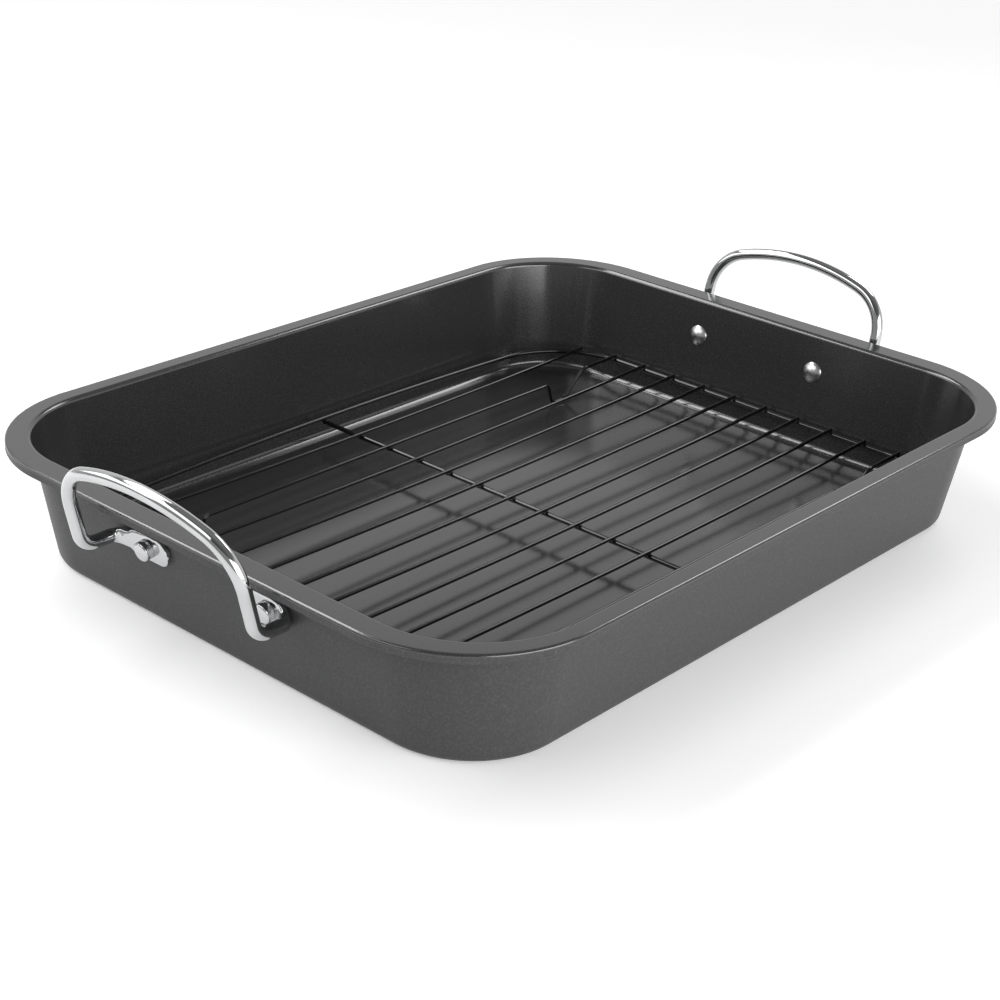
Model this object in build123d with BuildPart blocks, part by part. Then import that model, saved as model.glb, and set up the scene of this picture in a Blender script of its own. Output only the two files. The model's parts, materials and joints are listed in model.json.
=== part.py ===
from build123d import *
import math
import os

# Roasting pan with two riveted wire handles and a loose wire rack, in millimetres.
# The origin is the middle of the pan's underside. X runs from handle to handle, Z is up.

# Pan: pressed sheet, outside sizes
sheet = 1.0
pan_depth = 61.5
base_length = 376.2
base_width = 292.4
base_corner_radius = 44.4
wall_flare_x = 10.6
wall_flare_y = 10.3
wall_corner_growth = 9.3
floor_bend_radius = 5.0

# Pan rim: a flat flange with a turned-down lip, wider at the handles than along the sides
flange_width_x = 12.0
flange_width_y = 9.0
flange_corner_growth = 10.9
rim_bend_radius = 4.0
lip_depth = 4.2
lip_edge_radius = 1.2

# Handles: bent from one round wire, both ends flattened into riveted paddles
handle_wire_diameter = 6.35
arch_rim_gap = 4.9
arch_shoulder_rise = 36.3
arch_crown_height = 12.05
arch_leg_taper = 0.55
arch_lean = 13.5
arch_shoulder_radius = 23.8
arch_foot_radius = 8.0
arch_offset = 4.0
arm_overreach = 17.25
arm_drop = 0.7
arm_bend_radius = 6.0
arm_bend_angle = 90.0
paddle_length = 27.0
paddle_height = 13.0
paddle_thickness = 2.6
paddle_edge_radius = 0.7
neck_height = 8.2
neck_thickness = 2.9
neck_seat_gap = 0.05
neck_end_height = 6.0
neck_end_thickness = 1.6
neck_reach = 8.0

# Rivets
rivet_half_spacing = 38.5
rivet_drop = 20.3
rivet_shank_diameter = 5.0
rivet_hole_clearance = 0.05
rivet_head_diameter = 11.5
rivet_head_height = 2.2
rivet_head_edge = 0.5
rivet_stub_diameter = 9.3
rivet_stub_height = 4.5
rivet_stub_edge_radius = 1.3
rivet_stub_crown = 0.4

# Rack: welded wire, loose on the pan's floor, with the gaps it leaves to the four walls
rack_left_gap = 6.806
rack_right_gap = 2.806
rack_front_gap = 1.037
rack_back_gap = 7.037
rack_corner_ease = 1.445
rack_side_bow = 7.2
rack_stand_height = 13.25
rack_frame_wire_diameter = 2.5
rack_bar_wire_diameter = 2.5
rack_wire_diameter = 2.0
rack_wire_count = 12
rack_front_margin = 22.2
rack_back_margin = 28.1
rack_wire_overhang = 1.0
rack_bar_overhang = 0.8

# Rack feet: two of the wires dip to the pan's floor near both ends
foot_wire_skip_count = 1
foot_seat_gap = 0.3
foot_rise_inset = 29.0
foot_rise_sag = 0.2
foot_rise_run = 16.0
foot_length = 10.0
foot_drop_run = 4.0
foot_top_radius = 3.0
foot_heel_radius = 4.0
foot_toe_radius = 8.0
foot_rise_radius = 10.0

# Working length past a face for clean cuts
cut_overrun = 20.0

# Sizes of the pan that follow from the ones above
wall_slope_x = wall_flare_x / pan_depth
wall_slope_y = wall_flare_y / pan_depth
corner_growth = wall_corner_growth / pan_depth
rim_length = base_length + 2 * (wall_flare_x + flange_width_x)
rim_width = base_width + 2 * (wall_flare_y + flange_width_y)
rim_corner_radius = base_corner_radius + wall_corner_growth + flange_corner_growth
end_wall_lean = math.degrees(math.atan(wall_slope_x))
end_wall_thickness = sheet * math.cos(math.radians(end_wall_lean))

# Sizes of the handles and rivets that follow
handle_wire_radius = handle_wire_diameter / 2
rivet_height = pan_depth - rivet_drop
rivet_hole_radius = rivet_shank_diameter / 2 + rivet_hole_clearance
arch_foot_distance = rim_length / 2 + arch_rim_gap
arch_foot_half_span = rivet_half_spacing + arm_overreach
arch_foot_height = rivet_height - arm_drop
arch_shoulder_half_span = arch_foot_half_span - arch_leg_taper
arch_crown_rise = arch_shoulder_rise + arch_crown_height

# Sizes of the rack that follow
frame_wire_radius = rack_frame_wire_diameter / 2
bar_wire_radius = rack_bar_wire_diameter / 2
rack_wire_radius = rack_wire_diameter / 2
rack_place_x = (rack_left_gap - rack_right_gap) / 2
rack_place_y = (rack_front_gap - rack_back_gap) / 2
rack_frame_height = sheet + rack_stand_height
bar_height = rack_frame_height - frame_wire_radius - bar_wire_radius
wire_middle_height = bar_height + bar_wire_radius + rack_wire_radius
wire_end_height = rack_frame_height + frame_wire_radius + rack_wire_radius

os.makedirs("parts", exist_ok=True)


def wall_outline(height, inset):
    """Length, width and corner radius of the pan's wall at a height, moved inwards."""
    length = base_length + 2 * (wall_slope_x * height - inset)
    width = base_width + 2 * (wall_slope_y * height - inset)
    radius = base_corner_radius + corner_growth * height - inset
    return length, width, radius


def wall_x(height):
    """Distance of the end wall's outer face from the pan's middle at a height."""
    return base_length / 2 + wall_slope_x * height


def rivet_plane(side):
    """Plane on the right end wall's outer face at one rivet, its Z pointing outwards."""
    lean = math.radians(end_wall_lean)
    seat = (wall_x(rivet_height), side * rivet_half_spacing, rivet_height)
    return Plane(origin=seat, x_dir=(0, 1, 0), z_dir=(math.cos(lean), 0, -math.sin(lean)))


def rack_point(x, y, z):
    """A point given from the rack's own middle, as it stands in the pan."""
    return Vector(rack_place_x + x, rack_place_y + y, z)


def dome_drop(rim_radius, height, distance):
    """How far a round dome has fallen from its top at a distance from its axis."""
    radius = (rim_radius**2 + height**2) / (2 * height)
    return radius - math.sqrt(radius**2 - distance**2)


# Pan body: drawn tray with sloping walls, flat flange and turned-down lip
with BuildPart() as pan_body:
    # Outside of the drawn tray
    with BuildSketch(Plane.XY):
        RectangleRounded(*wall_outline(0, 0))
    with BuildSketch(Plane.XY.offset(pan_depth)):
        RectangleRounded(*wall_outline(pan_depth, 0))
    loft()
    fillet(pan_body.faces().sort_by(Axis.Z)[0].edges(), floor_bend_radius)
    # Flange with its lip, hollow underneath
    with BuildSketch(Plane.XY.offset(pan_depth - lip_depth)):
        RectangleRounded(rim_length, rim_width, rim_corner_radius)
    extrude(amount=lip_depth)
    rim_top = pan_body.faces().sort_by(Axis.Z)[-1]
    fillet(rim_top.outer_wire().edges(), lip_edge_radius)
    with BuildSketch(Plane.XY.offset(pan_depth - lip_depth)):
        RectangleRounded(
            rim_length - 2 * sheet, rim_width - 2 * sheet, rim_corner_radius - sheet
        )
        RectangleRounded(*wall_outline(pan_depth - lip_depth, 0), mode=Mode.SUBTRACT)
    extrude(amount=lip_depth - sheet, mode=Mode.SUBTRACT)
    # Bend between wall and flange, seen from below
    flange_under = (
        pan_body.faces()
        .filter_by(Axis.Z)
        .filter_by(lambda face: abs(face.center().Z - (pan_depth - sheet)) < sheet / 4)
        .sort_by(SortBy.AREA)[-1]
    )
    fillet(flange_under.inner_wires()[0].edges(), rim_bend_radius - sheet)

# Hollow of the tray, rounded at the floor and flared into the flange
with BuildPart() as pan_hollow:
    with BuildSketch(Plane.XY.offset(sheet)):
        RectangleRounded(*wall_outline(sheet, sheet))
    with BuildSketch(Plane.XY.offset(pan_depth)):
        RectangleRounded(*wall_outline(pan_depth, sheet))
    loft()
    fillet(pan_hollow.faces().sort_by(Axis.Z)[0].edges(), floor_bend_radius - sheet)

with BuildPart(mode=Mode.PRIVATE) as rivet_drill:
    for side in (-1, 1):
        with BuildSketch(rivet_plane(side)):
            Circle(rivet_hole_radius)
    extrude(amount=cut_overrun, both=True)

with BuildPart() as pan_finished:
    add(pan_body.part)
    add(pan_hollow.part, mode=Mode.SUBTRACT)
    mouth = (
        pan_finished.faces()
        .filter_by(Axis.Z)
        .sort_by(Axis.Z)[-1]
        .inner_wires()[0]
        .edges()
    )
    fillet(mouth, rim_bend_radius)
    for turn in (0, 180):
        add(rivet_drill.part.rotate(Axis.Z, turn), mode=Mode.SUBTRACT)

pan_finished.part.label = "pan_body"
export_step(pan_finished.part, "parts/pan_body.step")

# Handle: one wire arch, the same at both ends, drawn here for the right end
lean = math.radians(arch_lean)
arch_plane = Plane(
    origin=(arch_foot_distance, -arch_offset, arch_foot_height),
    x_dir=(0, 1, 0),
    z_dir=(math.cos(lean), 0, -math.sin(lean)),
)
shoulder_along = arch_shoulder_rise / math.cos(lean)
crown_along = arch_crown_rise / math.cos(lean)
# The foot's bend ends below this joint, and the shoulder's bend above it
joint_share = arch_foot_radius / shoulder_along
leg_joint = (
    arch_foot_half_span + joint_share * (arch_shoulder_half_span - arch_foot_half_span),
    joint_share * shoulder_along,
)
arm_end_x = wall_x(arch_foot_height) + paddle_thickness / 2 + arm_bend_radius

with BuildLine(arch_plane) as arch:
    Line(leg_joint, (arch_shoulder_half_span, shoulder_along))
    ThreePointArc(
        (arch_shoulder_half_span, shoulder_along),
        (0, crown_along),
        (-arch_shoulder_half_span, shoulder_along),
    )
    Line((-arch_shoulder_half_span, shoulder_along), (-leg_joint[0], leg_joint[1]))
    fillet(arch.vertices(), arch_shoulder_radius)

with BuildLine() as handle_path:
    add(arch.line)
    for side in (-1, 1):
        FilletPolyline(
            arch_plane.from_local_coords(Vector(side * leg_joint[0], leg_joint[1], 0)),
            arch_plane.from_local_coords(Vector(side * arch_foot_half_span, 0, 0)),
            Vector(arm_end_x, side * arch_foot_half_span - arch_offset, arch_foot_height),
            radius=arch_foot_radius,
        )

with BuildPart() as handle_shape:
    # Round wire from one arm over the arch to the other arm
    wire_run = handle_path.wires()[0]
    with BuildSketch(Plane(origin=wire_run @ 0, z_dir=wire_run % 0)):
        Circle(handle_wire_radius)
    sweep(path=wire_run)
    for side in (-1, 1):
        arm_y = side * arch_foot_half_span - arch_offset
        seat = rivet_plane(side)
        # Wire turning along the wall while it flattens
        with BuildSketch(
            Plane(origin=(arm_end_x, arm_y, arch_foot_height), x_dir=(0, 0, 1), z_dir=(-1, 0, 0))
        ):
            Circle(handle_wire_radius)
        half_turn = math.radians(arm_bend_angle / 2)
        bend_middle = (
            arm_end_x - arm_bend_radius * math.sin(half_turn),
            arm_y - side * arm_bend_radius * (1 - math.cos(half_turn)),
            (arch_foot_height + rivet_height) / 2,
        )
        with BuildSketch(
            Plane(
                origin=bend_middle,
                x_dir=(0, 0, 1),
                z_dir=(-math.cos(half_turn), -side * math.sin(half_turn), 0),
            )
        ):
            Ellipse(
                (neck_height + handle_wire_diameter) / 4,
                (neck_thickness + handle_wire_diameter) / 4,
            )
        wall_up = seat.z_dir.cross(Vector(0, 1, 0)) * -1
        for reach, height, thickness in (
            (0, neck_height, neck_thickness),
            (neck_reach, neck_end_height, neck_end_thickness),
        ):
            offset_y = arm_y - side * (arm_bend_radius + reach) - side * rivet_half_spacing
            centre = seat.from_local_coords(
                Vector(offset_y, 0, neck_seat_gap + thickness / 2)
            )
            with BuildSketch(Plane(origin=centre, x_dir=wall_up, z_dir=(0, -side, 0))):
                Ellipse(height / 2, thickness / 2)
        loft()
        # Flattened paddle lying on the wall
        with BuildSketch(seat):
            SlotOverall(paddle_length, paddle_height)
        paddle = extrude(amount=paddle_thickness, mode=Mode.PRIVATE)
        outward = paddle.faces().sort_by(lambda face: seat.to_local_coords(face.center()).Z)
        add(paddle.fillet(paddle_edge_radius, outward[-1].edges()))
        with BuildSketch(seat):
            Circle(rivet_hole_radius)
        extrude(amount=cut_overrun, both=True, mode=Mode.SUBTRACT)

for name, turn in (("handle_right", 0), ("handle_left", 180)):
    with BuildPart() as handle:
        add(handle_shape.part.rotate(Axis.Z, turn))
    handle.part.label = name
    export_step(handle.part, f"parts/{name}.step")

# Rivet: domed head inside the pan, upset stub outside on the paddle
head_seat = -end_wall_thickness
head_radius = rivet_head_diameter / 2
head_top = head_seat - rivet_head_height
dome_height = rivet_head_height - rivet_head_edge
shank_radius = rivet_shank_diameter / 2
stub_radius = rivet_stub_diameter / 2
stub_end = paddle_thickness + rivet_stub_height
crown_radius = stub_radius - rivet_stub_edge_radius
crown_edge = stub_end - rivet_stub_crown
stub_edge = crown_edge - rivet_stub_edge_radius

with BuildPart() as rivet_shape:
    with BuildSketch(Plane.XZ):
        with BuildLine():
            Polyline(
                (head_radius, head_top + dome_height),
                (head_radius, head_seat),
                (shank_radius, head_seat),
                (shank_radius, paddle_thickness),
                (stub_radius, paddle_thickness),
                (stub_radius, stub_edge),
            )
            CenterArc((crown_radius, stub_edge), rivet_stub_edge_radius, 0, 90)
            ThreePointArc(
                (crown_radius, crown_edge),
                (
                    crown_radius / 2,
                    stub_end - dome_drop(crown_radius, rivet_stub_crown, crown_radius / 2),
                ),
                (0, stub_end),
            )
            Line((0, stub_end), (0, head_top))
            ThreePointArc(
                (0, head_top),
                (head_radius / 2, head_top + dome_drop(head_radius, dome_height, head_radius / 2)),
                (head_radius, head_top + dome_height),
            )
        make_face()
    revolve(axis=Axis.Z)

for end, turn in (("right", 0), ("left", 180)):
    for place, side in (("front", -1), ("back", 1)):
        name = f"rivet_{end}_{place}"
        seat = rivet_plane(side if turn == 0 else -side)
        with BuildPart() as rivet:
            add(rivet_shape.part.moved(seat.location).rotate(Axis.Z, turn))
        rivet.part.label = name
        export_step(rivet.part, f"parts/{name}.step")

# Rack frame: one closed wire with bowed long sides and round corners, fitted to the walls
inner_length, inner_width, inner_radius = wall_outline(rack_frame_height, sheet)
rack_half_length = (inner_length - rack_left_gap - rack_right_gap) / 2 - frame_wire_radius
rack_half_width = (inner_width - rack_front_gap - rack_back_gap) / 2 - frame_wire_radius
rack_corner_radius = inner_radius + rack_corner_ease
frame_corner_y = rack_half_width - rack_side_bow
with BuildLine(Plane(rack_point(0, 0, rack_frame_height))) as frame_path:
    for side in (-1, 1):
        Line(
            (side * rack_half_length, -side * frame_corner_y),
            (side * rack_half_length, side * frame_corner_y),
        )
        ThreePointArc(
            (side * rack_half_length, side * frame_corner_y),
            (0, side * rack_half_width),
            (-side * rack_half_length, side * frame_corner_y),
        )
    fillet(frame_path.vertices(), rack_corner_radius)

with BuildPart() as rack_frame:
    frame_run = Wire(frame_path.line.edges())
    with BuildSketch(Plane(origin=frame_run @ 0, z_dir=frame_run % 0)):
        Circle(frame_wire_radius)
    sweep(path=frame_run)

rack_frame.part.label = "rack_frame"
export_step(rack_frame.part, "parts/rack_frame.step")

# Rack cross bar: straight wire under everything
bar_half = rack_half_width + rack_bar_overhang
with BuildPart() as rack_cross_bar:
    bar_start = rack_point(0, -bar_half, bar_height)
    with BuildSketch(Plane(origin=bar_start, z_dir=(0, 1, 0))):
        Circle(bar_wire_radius)
    extrude(amount=2 * bar_half)

rack_cross_bar.part.label = "rack_cross_bar"
export_step(rack_cross_bar.part, "parts/rack_cross_bar.step")

# Rack wires: long wires lying on the bar and ending on top of the frame
side_radius = (rack_half_length**2 + rack_side_bow**2) / (2 * rack_side_bow)
side_centre_y = rack_half_width - side_radius
corner_x = rack_half_length - rack_corner_radius
corner_centre_y = side_centre_y + math.sqrt(
    (side_radius - rack_corner_radius) ** 2 - corner_x**2
)


def frame_reach(y):
    """Distance along X from the rack's middle to the frame wire at a given Y."""
    past = abs(y) - corner_centre_y
    if past <= 0:
        return rack_half_length
    return corner_x + math.sqrt(rack_corner_radius**2 - past**2)


# Places of the wires across the rack, and of the feet along it
rack_first_wire_y = rack_front_margin - rack_half_width
rack_last_wire_y = rack_half_width - rack_back_margin
rack_wire_pitch = (rack_last_wire_y - rack_first_wire_y) / (rack_wire_count - 1)
foot_height = sheet + foot_seat_gap + rack_wire_radius
foot_rise_end = rack_half_length - foot_rise_inset
foot_rise_height = wire_end_height - foot_rise_sag
foot_flat_end = foot_rise_end - foot_rise_run
foot_flat_start = foot_flat_end - foot_length
foot_drop_start = foot_flat_start - foot_drop_run

for index in range(rack_wire_count):
    y = rack_first_wire_y + index * rack_wire_pitch
    reach = frame_reach(y)
    end_x = reach + rack_wire_overhang
    has_feet = min(index, rack_wire_count - 1 - index) == foot_wire_skip_count
    name = f"rack_foot_wire_{index + 1:02d}" if has_feet else f"rack_wire_{index + 1:02d}"
    with BuildPart() as rack_wire:
        with BuildLine() as wire_path:
            if has_feet:
                # Straight over the bar, down to both feet and up to the frame
                end_rise = (wire_end_height - foot_rise_height) / (reach - foot_rise_end)
                end_z = wire_end_height + end_rise * rack_wire_overhang
                half_run = [
                    (end_x, end_z),
                    (foot_rise_end, foot_rise_height),
                    (foot_flat_end, foot_height),
                    (foot_flat_start, foot_height),
                    (foot_drop_start, wire_middle_height),
                ]
                radii = [foot_rise_radius, foot_toe_radius, foot_heel_radius, foot_top_radius]
                FilletPolyline(
                    *[rack_point(-x, y, z) for x, z in half_run],
                    *[rack_point(x, y, z) for x, z in reversed(half_run)],
                    radius=radii + radii[::-1],
                )
            else:
                # Shallow bow, lowest on the bar
                rise = wire_end_height - wire_middle_height
                bow_radius = (reach**2 + rise**2) / (2 * rise)
                end_z = wire_middle_height + bow_radius - math.sqrt(bow_radius**2 - end_x**2)
                ThreePointArc(
                    rack_point(-end_x, y, end_z),
                    rack_point(0, y, wire_middle_height),
                    rack_point(end_x, y, end_z),
                )
        wire_run = wire_path.wires()[0]
        with BuildSketch(Plane(origin=wire_run @ 0, z_dir=wire_run % 0)):
            Circle(rack_wire_radius)
        sweep(path=wire_run)
    rack_wire.part.label = name
    export_step(rack_wire.part, f"parts/{name}.step")
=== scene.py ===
import json
import logging
import math
from dataclasses import dataclass, field
from enum import Enum
from functools import cache

import bpy
from mathutils import Matrix, Vector, noise


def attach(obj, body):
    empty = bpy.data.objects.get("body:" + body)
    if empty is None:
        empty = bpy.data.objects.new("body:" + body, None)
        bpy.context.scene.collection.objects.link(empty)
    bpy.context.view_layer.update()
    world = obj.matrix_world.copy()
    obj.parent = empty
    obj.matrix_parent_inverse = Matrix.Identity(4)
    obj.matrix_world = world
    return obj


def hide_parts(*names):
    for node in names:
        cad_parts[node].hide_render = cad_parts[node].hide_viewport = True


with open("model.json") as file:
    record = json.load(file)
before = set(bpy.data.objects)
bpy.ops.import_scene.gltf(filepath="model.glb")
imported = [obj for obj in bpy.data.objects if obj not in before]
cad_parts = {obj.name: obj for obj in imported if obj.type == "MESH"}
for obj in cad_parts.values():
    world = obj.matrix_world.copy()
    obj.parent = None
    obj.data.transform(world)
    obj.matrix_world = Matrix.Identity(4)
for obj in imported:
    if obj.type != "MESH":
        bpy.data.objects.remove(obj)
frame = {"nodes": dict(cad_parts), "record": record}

LOG = logging.getLogger("roasting_pan")
MM = 0.001
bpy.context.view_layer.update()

# Share of a round's radius that is left at the middle of the round
ROUND_LEFT = 0.3
# Span of the slow tone's values that covers most of a surface
CLOUD_SPAN = (0.3, 0.7)

Ring = list[Vector]


class Body(Enum):
    """The two bodies that pieces ride on."""

    PAN = "pan"
    RACK = "rack"


class End(Enum):
    """The pan's two ends, with the turn about Z that brings the right end there."""

    RIGHT = ("right", 0.0)
    LEFT = ("left", math.pi)

    @property
    def label(self) -> str:
        """Word used in the names of nodes and pieces at this end."""
        return self.value[0]

    @property
    def turn(self) -> Matrix:
        """Turn about Z from the right end to this one."""
        return Matrix.Rotation(self.value[1], 4, "Z")


class Slot(Enum):
    """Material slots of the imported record."""

    PAN = "pan_coating"
    HANDLE = "handle_chrome"
    RIVET = "rivet_metal"
    RACK = "rack_coating"


class PanSkin(Enum):
    """Order of the two finishes on the pan's sheet."""

    INSIDE = 0
    OUTSIDE = 1


# Shader building


class NodeGraph:
    """Adds nodes and links to one node tree in a few words."""

    def __init__(self, tree: bpy.types.NodeTree) -> None:
        """Wraps a node tree.

        Args:
            tree: The tree that nodes are added to.
        """
        self.tree = tree

    def node(self, kind: str, **settings: object) -> bpy.types.Node:
        """Adds a node.

        Args:
            kind: Blender's node type name.
            settings: Attributes of the node, or values for its named input sockets.

        Returns:
            The new node.
        """
        made = self.tree.nodes.new(kind)
        for name, value in settings.items():
            if hasattr(made, name):
                setattr(made, name, value)
            else:
                made.inputs[name.replace("_", " ")].default_value = value
        return made

    def link(self, source: bpy.types.NodeSocket, target: bpy.types.NodeSocket) -> None:
        """Joins an output socket to an input socket."""
        self.tree.links.new(source, target)

    def ramp(
        self,
        source: bpy.types.NodeSocket,
        stops: list[tuple[float, tuple[float, float, float]]],
    ) -> bpy.types.NodeSocket:
        """Maps a value to colours.

        Args:
            source: The value socket to read.
            stops: Places from 0 to 1 with the colour at each.

        Returns:
            The colour socket.
        """
        made = self.tree.nodes.new("ShaderNodeValToRGB")
        elements = made.color_ramp.elements
        while len(elements) < len(stops):
            elements.new(0.5)
        for element, (place, colour) in zip(elements, stops):
            element.position = place
            element.color = (*colour, 1.0)
        self.link(source, made.inputs["Fac"])
        return made.outputs["Color"]

    def span(
        self, source: bpy.types.NodeSocket, low: float, high: float,
        from_low: float = 0.0, from_high: float = 1.0,
    ) -> bpy.types.NodeSocket:
        """Maps a value from one range to another.

        Args:
            source: The value socket to read.
            low: Result at the low end.
            high: Result at the high end.
            from_low: Value at the low end.
            from_high: Value at the high end.

        Returns:
            The mapped value's socket.
        """
        made = self.tree.nodes.new("ShaderNodeMapRange")
        made.inputs["From Min"].default_value = from_low
        made.inputs["From Max"].default_value = from_high
        made.inputs["To Min"].default_value = low
        made.inputs["To Max"].default_value = high
        self.link(source, made.inputs["Value"])
        return made.outputs["Result"]

    def noise(
        self, scale: bpy.types.NodeSocket, **settings: float
    ) -> bpy.types.NodeSocket:
        """Adds noise that is fixed to the object.

        Args:
            scale: The scale's socket.
            settings: Detail and Roughness of the noise.

        Returns:
            The noise's value socket.
        """
        place = self.node("ShaderNodeTexCoord")
        made = self.node("ShaderNodeTexNoise", **settings)
        self.link(place.outputs["Object"], made.inputs["Vector"])
        self.link(scale, made.inputs["Scale"])
        return made.outputs["Fac"]

    def sums(
        self, operation: str, first: bpy.types.NodeSocket, second: bpy.types.NodeSocket | float
    ) -> bpy.types.NodeSocket:
        """Works out one sum of two values.

        Args:
            operation: Blender's name of the sum.
            first: The first value's socket.
            second: The second value, a socket or a number.

        Returns:
            The result's socket.
        """
        made = self.tree.nodes.new("ShaderNodeMath")
        made.operation = operation
        self.link(first, made.inputs[0])
        if isinstance(second, bpy.types.NodeSocket):
            self.link(second, made.inputs[1])
        else:
            made.inputs[1].default_value = second
        return made.outputs[0]


class EffectGroups:
    """Shader node groups for the finishes, each built once however many use it."""

    flake_edge: tuple[float, float] = (0.45, 0.78)
    wear_left: float = 0.35
    wear_edge: tuple[float, float] = (0.35, 0.65)

    @staticmethod
    def _open(
        name: str, inputs: dict[str, float], outputs: tuple[str, ...]
    ) -> tuple[NodeGraph, bpy.types.Node, bpy.types.Node]:
        """Starts a group with its value sockets.

        Args:
            name: The group's name.
            inputs: Names of the inputs with their defaults.
            outputs: Names of the outputs.

        Returns:
            The group's graph, its input node and its output node.
        """
        tree = bpy.data.node_groups.new(name, "ShaderNodeTree")
        for label, value in inputs.items():
            made = tree.interface.new_socket(
                name=label, in_out="INPUT", socket_type="NodeSocketFloat"
            )
            made.default_value = value
        for label in outputs:
            tree.interface.new_socket(name=label, in_out="OUTPUT", socket_type="NodeSocketFloat")
        graph = NodeGraph(tree)
        return graph, graph.node("NodeGroupInput"), graph.node("NodeGroupOutput")

    @classmethod
    @cache
    def flake(cls) -> bpy.types.NodeTree:
        """Fine pale flakes in a dark coating.

        Returns:
            A group with a Mask of flakes and a Cloud of slow tone changes.
        """
        graph, entry, leave = cls._open(
            "coating_flake",
            {"Scale": 900.0, "Cloud Scale": 14.0, "Amount": 0.5},
            ("Mask", "Cloud"),
        )
        speck = graph.noise(entry.outputs["Scale"], Detail=2.0, Roughness=0.7)
        sharp = graph.span(speck, 0.0, 1.0, *cls.flake_edge)
        mask = graph.sums("MULTIPLY", sharp, entry.outputs["Amount"])
        graph.link(mask, leave.inputs["Mask"])
        cloud = graph.noise(entry.outputs["Cloud Scale"], Detail=3.0, Roughness=0.5)
        graph.link(cloud, leave.inputs["Cloud"])
        return graph.tree

    @classmethod
    @cache
    def skin(cls) -> bpy.types.NodeTree:
        """Height of a sprayed or plated skin: fine grain over a slow ripple.

        Returns:
            A group with a Height output.
        """
        graph, entry, leave = cls._open(
            "skin_height",
            {"Grain Scale": 1400.0, "Grain": 0.3, "Ripple Scale": 40.0, "Ripple": 0.2},
            ("Height",),
        )
        parts = []
        for kind in ("Grain", "Ripple"):
            wave = graph.noise(entry.outputs[f"{kind} Scale"], Detail=2.0, Roughness=0.55)
            parts.append(graph.sums("MULTIPLY", wave, entry.outputs[kind]))
        graph.link(graph.sums("ADD", *parts), leave.inputs["Height"])
        return graph.tree

    @classmethod
    @cache
    def edge_wear(cls) -> bpy.types.NodeTree:
        """Where a sharp edge has been rubbed brighter.

        Returns:
            A group with a Mask that is 1 on convex edges.
        """
        graph, entry, leave = cls._open(
            "edge_wear", {"Start": 0.52, "End": 0.62, "Breakup Scale": 260.0}, ("Mask",)
        )
        shape = graph.node("ShaderNodeNewGeometry")
        patch = graph.noise(entry.outputs["Breakup Scale"], Detail=3.0)
        edge = graph.node("ShaderNodeMapRange")
        graph.link(shape.outputs["Pointiness"], edge.inputs["Value"])
        graph.link(entry.outputs["Start"], edge.inputs["From Min"])
        graph.link(entry.outputs["End"], edge.inputs["From Max"])
        broken = graph.span(patch, cls.wear_left, 1.0, *cls.wear_edge)
        graph.link(graph.sums("MULTIPLY", edge.outputs["Result"], broken), leave.inputs["Mask"])
        return graph.tree


def place_group(
    graph: NodeGraph, tree: bpy.types.NodeTree, **values: float
) -> bpy.types.Node:
    """Places a shader node group in a material.

    Args:
        graph: The material's graph.
        tree: The group.
        values: Values for the group's inputs, with _ for each space.

    Returns:
        The group's node.
    """
    made = graph.tree.nodes.new("ShaderNodeGroup")
    made.node_tree = tree
    for name, value in values.items():
        made.inputs[name.replace("_", " ")].default_value = value
    return made


def open_material(name: str) -> tuple[bpy.types.Material, NodeGraph, bpy.types.Node]:
    """Starts a material.

    Args:
        name: The material's name.

    Returns:
        The material, its graph and its Principled BSDF node.
    """
    made = bpy.data.materials.new(name)
    made.use_nodes = True
    graph = NodeGraph(made.node_tree)
    return made, graph, made.node_tree.nodes["Principled BSDF"]


def add_bump(
    graph: NodeGraph,
    shader: bpy.types.Node,
    height: bpy.types.NodeSocket,
    distance: float,
    strength: float,
) -> None:
    """Drives a shader's normal with a height.

    Args:
        graph: The material's graph.
        shader: The shader node.
        height: The height's socket.
        distance: The height's real size in metres.
        strength: Share of the full effect.
    """
    bump = graph.node("ShaderNodeBump")
    bump.inputs["Distance"].default_value = distance
    bump.inputs["Strength"].default_value = strength
    graph.link(height, bump.inputs["Height"])
    graph.link(bump.outputs["Normal"], shader.inputs["Normal"])


def vary_roughness(
    graph: NodeGraph,
    shader: bpy.types.Node,
    cloud: bpy.types.NodeSocket,
    reach: tuple[float, float],
    span: tuple[float, float] = CLOUD_SPAN,
) -> None:
    """Makes a shader's roughness change slowly over the surface.

    Args:
        graph: The material's graph.
        shader: The shader node.
        cloud: The slow tone's socket.
        reach: Roughness at the span's low and high end.
        span: Values of the slow tone where these are reached.
    """
    graph.link(graph.span(cloud, *reach, *span), shader.inputs["Roughness"])


# Finishes


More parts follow.
